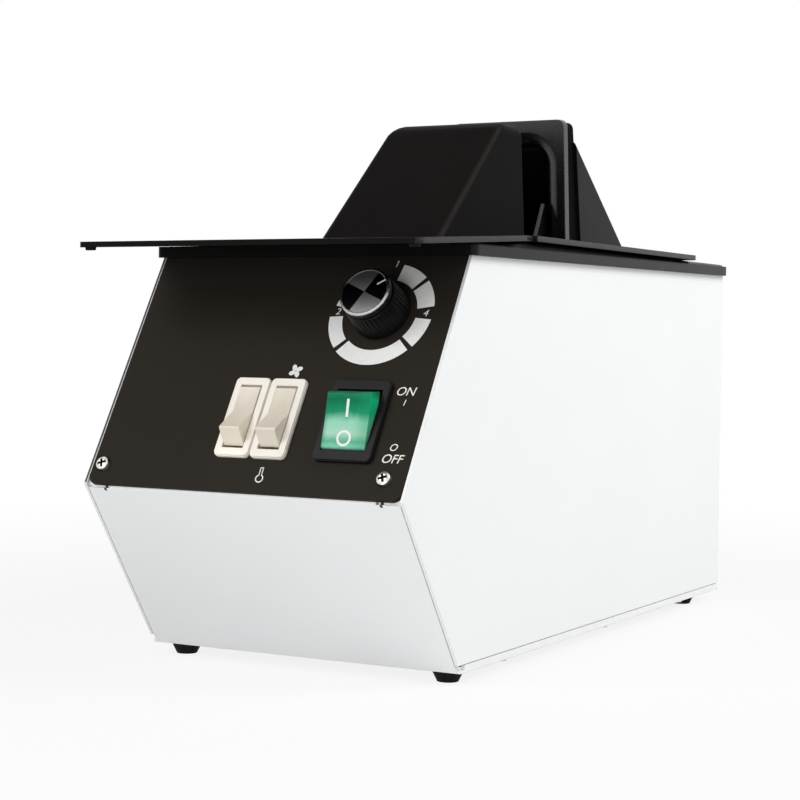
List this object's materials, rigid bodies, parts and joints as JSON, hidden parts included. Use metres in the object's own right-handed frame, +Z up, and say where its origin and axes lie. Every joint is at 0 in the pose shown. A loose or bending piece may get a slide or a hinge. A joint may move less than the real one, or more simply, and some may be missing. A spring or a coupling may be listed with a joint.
{
  "type": "eyeglass frame warmer",
  "caption": "Counter-top hot-air warmer for eyeglass frames: sheet-metal housing with a sloping control panel, a sliding deck with a hood, and a fixed rear hood with a flared mouth.",
  "frame": {"origin": "centre of the overall box, on the table under the feet", "axes": "+Z up, -Y towards the control panel and the user, +X to the right seen from the user"},
  "size_m": [0.15, 0.3306, 0.2301],
  "materials": {
    "white_paint": "fine white powder coat, satin",
    "black_paint": "black powder coat, low gloss",
    "black_plastic": "moulded black plastic, satin",
    "cream_plastic": "moulded cream plastic",
    "green_plastic": "moulded translucent green plastic, glossy",
    "rubber": "moulded black rubber, matte",
    "bright_steel": "bright turned metal",
    "zinc_steel": "zinc-plated steel",
    "dark_screws": "black oxide",
    "brass": "plain brass",
    "nylon": "natural nylon",
    "wheel_plastic": "moulded grey plastic",
    "motor_iron": "painted motor can",
    "mica": "mica board",
    "heater_wire": "oxidised resistance wire",
    "thermostat": "black phenolic",
    "board": "green circuit board with its parts"
  },
  "bodies": {
    "housing": {"base_tray": "white_paint", "side_panel_left": "white_paint", "side_panel_right": "white_paint", "rear_panel": "white_paint", "control_panel": "black_paint", "panel_screws": "bright_steel", "rear_panel_screws": "zinc_steel", "tray_screws": "zinc_steel", "top_cover": "black_paint", "cover_screws": "zinc_steel", "foot_front_left": "rubber", "foot_front_right": "rubber", "foot_rear_left": "rubber", "foot_rear_right": "rubber", "foot_screws": "zinc_steel", "cord_bush": "black_plastic", "rear_hood": "black_plastic", "mouth_plate": "black_plastic", "rear_hood_screws": "zinc_steel", "outlet_guard": "zinc_steel", "dial_control": "zinc_steel", "dial_nut": "brass", "heat_switch_body": "cream_plastic", "fan_switch_body": "cream_plastic", "power_switch_body": "black_plastic", "switch_terminals": "brass", "blower_scroll": "zinc_steel", "blower_motor": "motor_iron", "motor_bracket": "zinc_steel", "heater_duct": "zinc_steel", "heater_frame": "mica", "heater_coil": "heater_wire", "thermal_cutout": "thermostat", "duct_screws": "zinc_steel", "control_board": "board", "board_standoffs": "nylon", "terminal_block": "nylon"},
    "deck": {"slide_deck": "black_paint", "deck_bumpers": "rubber", "deck_runners": "nylon", "runner_screws": "dark_screws", "front_hood": "black_plastic", "front_hood_screws": "dark_screws"},
    "dial": {"dial_shaft": "zinc_steel", "knob_body": "black_plastic", "knob_cap": "bright_steel"},
    "heat_rocker": {"heat_switch_rocker": "cream_plastic"},
    "fan_rocker": {"fan_switch_rocker": "cream_plastic"},
    "power_rocker": {"power_switch_rocker": "green_plastic"},
    "wheel": {"blower_wheel": "wheel_plastic", "motor_shaft": "zinc_steel"}
  },
  "joints": [
    {"name": "deck_slide", "type": "slide", "parent": "housing", "child": "deck", "axis": [0, 0.9986, 0.0523], "range_m": [0, 0.0415]},
    {"name": "dial_turn", "type": "hinge", "parent": "housing", "child": "dial", "pos_m": [0.0394, -0.1267, 0.13851], "axis": [0, -0.8639, 0.5037], "range_deg": [-94, 206]},
    {"name": "heat_switch_rock", "type": "hinge", "parent": "housing", "child": "heat_rocker", "pos_m": [-0.0068, -0.14674, 0.09718], "axis": [1, 0, 0], "range_deg": [0, 30]},
    {"name": "fan_switch_rock", "type": "hinge", "parent": "housing", "child": "fan_rocker", "pos_m": [0.009, -0.14674, 0.09718], "axis": [1, 0, 0], "range_deg": [0, 30]},
    {"name": "power_switch_rock", "type": "hinge", "parent": "housing", "child": "power_rocker", "pos_m": [0.0409, -0.14864, 0.09829], "axis": [1, 0, 0], "range_deg": [-34, 0]},
    {"name": "wheel_spin", "type": "hinge", "parent": "housing", "child": "wheel", "pos_m": [0, 0.0855, 0.0708], "axis": [1, 0, 0], "continuous": true}
  ]
}
